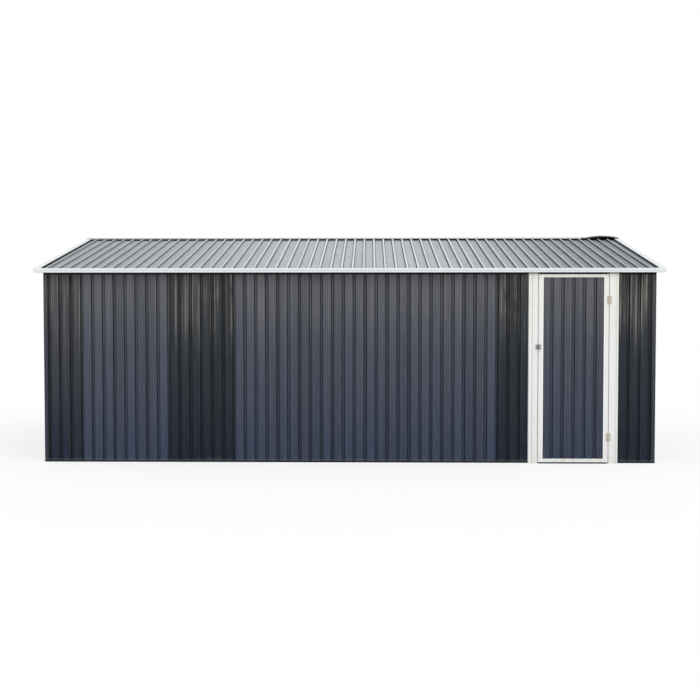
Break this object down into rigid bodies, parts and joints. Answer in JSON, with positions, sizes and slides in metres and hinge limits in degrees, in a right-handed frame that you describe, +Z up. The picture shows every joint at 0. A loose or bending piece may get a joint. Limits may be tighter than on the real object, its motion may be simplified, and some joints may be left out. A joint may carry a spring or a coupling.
{
  "type": "metal garage",
  "caption": "Long low garage of ribbed sheet steel with a shallow gable roof, pale trims and a hinged side door at one end of its long wall.",
  "frame": {"origin": "on the ground under the middle of the building's outline", "axes": "+X along the eaves towards the door's end, +Y from the door's wall towards the back wall, +Z up"},
  "size_m": [6.086, 4.06, 2.3338],
  "materials": {
    "wall_sheet": "anthracite coil coating, satin",
    "roof_sheet": "light grey coil coating, satin",
    "white_trim": "white coil coating",
    "door_white": "off-white paint",
    "zinc_steel": "galvanised",
    "fitting_steel": "zinc plated, dull"
  },
  "bodies": {
    "building": {"base_rail_front": "wall_sheet", "base_rail_back": "wall_sheet", "base_rail_left": "wall_sheet", "base_rail_right": "wall_sheet", "threshold": "zinc_steel", "front_panel_1": "wall_sheet", "front_panel_2": "wall_sheet", "front_panel_3": "wall_sheet", "front_panel_4": "wall_sheet", "front_panel_5": "wall_sheet", "front_panel_6": "wall_sheet", "front_panel_7": "wall_sheet", "front_panel_8": "wall_sheet", "front_panel_9": "wall_sheet", "back_wall": "wall_sheet", "left_gable_wall": "wall_sheet", "right_gable_wall": "wall_sheet", "corner_angles": "wall_sheet", "mid_rails": "zinc_steel", "top_rails": "zinc_steel", "ridge_beam": "zinc_steel", "purlins": "zinc_steel", "rafters": "zinc_steel", "ties": "zinc_steel", "truss_posts": "zinc_steel", "roof_front": "roof_sheet", "roof_back": "roof_sheet", "ridge_cap": "roof_sheet", "ridge_cap_end": "roof_sheet", "fascia_front": "white_trim", "fascia_back": "white_trim", "verge_trim_left": "white_trim", "verge_trim_right": "white_trim", "eave_corner_caps": "white_trim", "jamb_left": "door_white", "jamb_right": "door_white", "door_head": "wall_sheet", "hinge_jamb_plates": "fitting_steel", "hinge_pins": "fitting_steel", "latch_keeper": "fitting_steel"},
    "side_door": {"leaf_stiles": "door_white", "leaf_rails": "door_white", "leaf_panel": "wall_sheet", "hinge_leaf_plates": "fitting_steel", "latch_case": "fitting_steel"}
  },
  "joints": [
    {"name": "side_door_hinge", "type": "hinge", "parent": "building", "child": "side_door", "pos_m": [2.50625, -2.006, 0.917], "axis": [0, 0, 1], "range_deg": [0, 110]}
  ]
}
